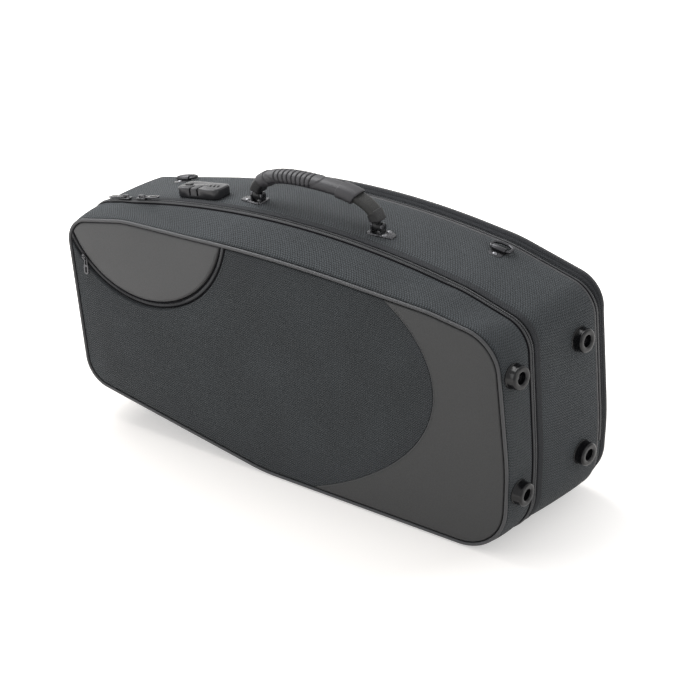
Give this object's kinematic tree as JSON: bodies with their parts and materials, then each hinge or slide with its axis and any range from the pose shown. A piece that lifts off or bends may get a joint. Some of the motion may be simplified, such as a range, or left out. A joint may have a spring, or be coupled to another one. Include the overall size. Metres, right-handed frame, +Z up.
{
  "type": "alto saxophone case",
  "caption": "Soft-covered shaped case with a zipped hinged lid, moulded tray, carrying handle, combination lock, pockets and feet for an alto saxophone.",
  "frame": {"origin": "middle of the footprint of the bounding box, on the surface that the case stands on", "axes": "+X along the case towards its big end with the four feet, -Y out of the lid, +Z up towards the handle"},
  "size_m": [0.6466, 0.1848, 0.3492],
  "materials": {
    "nylon": "woven nylon, matte",
    "leather": "smooth leatherette",
    "piping": "smooth piping",
    "tape": "woven tape",
    "plush": "plush on foam",
    "plastic": "glossy black moulding",
    "grip": "satin moulded grip",
    "dark_metal": "dark nickel",
    "steel": "polished"
  },
  "bodies": {
    "base": {"base_shell": "nylon", "base_insert": "plush", "tray_floor": "plush", "accessory_block": "plush", "base_zip_tape": "tape", "base_hinge_tape": "tape", "back_piping": "piping", "back_panel": "nylon", "rear_pocket": "nylon", "rear_pocket_zip": "tape", "base_upper_foot": "plastic", "base_upper_foot_screw": "steel", "base_lower_foot": "plastic", "base_lower_foot_screw": "steel", "anchor_plate_left": "dark_metal", "anchor_plate_right": "dark_metal", "anchor_pin_left": "steel", "anchor_pin_right": "steel", "anchor_rivet_left_front": "steel", "anchor_rivet_left_back": "steel", "anchor_rivet_right_front": "steel", "anchor_rivet_right_back": "steel", "lock_body": "dark_metal", "lock_dial_axle": "steel", "ring_clip_left": "dark_metal", "ring_clip_right": "dark_metal", "ring_clip_rivet_left": "steel", "ring_clip_rivet_right": "steel"},
    "lid": {"lid_shell": "nylon", "lid_lining": "plush", "lid_lining_frame": "plush", "lid_zip_tape": "tape", "lid_hinge_tape": "tape", "lid_piping": "piping", "pocket_panel": "nylon", "pocket_flap": "leather", "lid_leather_panel": "leather", "pocket_zip": "tape", "lid_upper_foot": "plastic", "lid_upper_foot_screw": "steel", "lid_lower_foot": "plastic", "lid_lower_foot_screw": "steel"},
    "handle": {"handle_grip": "grip", "handle_strap": "tape"},
    "lock_dial_1": {"lock_dial_1": "plastic"},
    "lock_dial_2": {"lock_dial_2": "plastic"},
    "lock_dial_3": {"lock_dial_3": "plastic"},
    "lock_button": {"lock_button": "plastic"},
    "strap_ring_left": {"strap_ring_left": "dark_metal"},
    "strap_ring_right": {"strap_ring_right": "dark_metal"},
    "main_left_slider": {"main_left_slider": "dark_metal"},
    "main_right_slider": {"main_right_slider": "dark_metal"},
    "main_left_pull": {"main_left_pull": "dark_metal"},
    "main_right_pull": {"main_right_pull": "dark_metal"},
    "rear_pocket_slider": {"rear_pocket_slider": "dark_metal"},
    "rear_pocket_pull": {"rear_pocket_pull": "dark_metal"},
    "front_pocket_slider": {"front_pocket_slider": "dark_metal"},
    "front_pocket_pull": {"front_pocket_pull": "dark_metal"}
  },
  "joints": [
    {"name": "lid_hinge", "type": "hinge", "parent": "base", "child": "lid", "pos_m": [0.11052, -0.0382, 0], "axis": [1, 0, 0], "range_deg": [0, 170]},
    {"name": "handle_swing", "type": "hinge", "parent": "base", "child": "handle", "pos_m": [-0.01528, -0.00153, 0.30689], "axis": [0.9997, -0.0023, 0.0246], "range_deg": [-35, 40]},
    {"name": "dial_1_turn", "type": "hinge", "parent": "base", "child": "lock_dial_1", "pos_m": [-0.16379, -0.00516, 0.29599], "axis": [0.9855, 0, 0.1696], "continuous": true},
    {"name": "dial_2_turn", "type": "hinge", "parent": "base", "child": "lock_dial_2", "pos_m": [-0.15847, -0.00516, 0.2969], "axis": [0.9855, 0, 0.1696], "continuous": true},
    {"name": "dial_3_turn", "type": "hinge", "parent": "base", "child": "lock_dial_3", "pos_m": [-0.15315, -0.00516, 0.29782], "axis": [0.9855, 0, 0.1696], "continuous": true},
    {"name": "lock_button_press", "type": "slide", "parent": "base", "child": "lock_button", "axis": [0.1692, -0.0639, -0.9835], "range_m": [0, 0.0015], "stiffness_N_per_m": 200},
    {"name": "strap_ring_left_swing", "type": "hinge", "parent": "base", "child": "strap_ring_left", "pos_m": [-0.24945, 0.05365, 0.26835], "axis": [0.9731, 0, 0.2306], "range_deg": [0, 150]},
    {"name": "strap_ring_right_swing", "type": "hinge", "parent": "base", "child": "strap_ring_right", "pos_m": [0.19006, 0.05316, 0.29277], "axis": [0.9891, 0, -0.1472], "range_deg": [0, 150]},
    {"name": "main_left_slider_travel", "type": "slide", "parent": "base", "child": "main_left_slider", "axis": [-0.9703, 0, -0.2417], "range_m": [0, 0.026]},
    {"name": "main_right_slider_travel", "type": "hinge", "parent": "base", "child": "main_right_slider", "pos_m": [0.00204, -0.0382, -0.77437], "axis": [0, 1, 0], "range_deg": [0, 20]},
    {"name": "main_left_pull_flip", "type": "hinge", "parent": "main_left_slider", "child": "main_left_pull", "pos_m": [-0.26375, -0.03774, 0.2743], "axis": [0, 1, 0], "range_deg": [0, 100]},
    {"name": "main_right_pull_flip", "type": "hinge", "parent": "main_right_slider", "child": "main_right_pull", "pos_m": [-0.23968, -0.03776, 0.27999], "axis": [0, -1, 0], "range_deg": [0, 100]},
    {"name": "rear_pocket_slider_travel", "type": "hinge", "parent": "base", "child": "rear_pocket_slider", "pos_m": [0.03499, 0.0826, -0.69648], "axis": [0, 1, 0], "range_deg": [0, 13]},
    {"name": "rear_pocket_pull_flip", "type": "hinge", "parent": "rear_pocket_slider", "child": "rear_pocket_pull", "pos_m": [-0.1266, 0.08263, 0.28853], "axis": [0, -1, 0], "range_deg": [0, 100]},
    {"name": "front_pocket_slider_travel", "type": "hinge", "parent": "lid", "child": "front_pocket_slider", "pos_m": [-0.20353, -0.0897, 0.295], "axis": [0, -1, 0], "range_deg": [0, 116]},
    {"name": "front_pocket_pull_swing", "type": "hinge", "parent": "front_pocket_slider", "child": "front_pocket_pull", "pos_m": [-0.2851, -0.09079, 0.20626], "axis": [0, -1, 0], "range_deg": [-50, 120]}
  ]
}
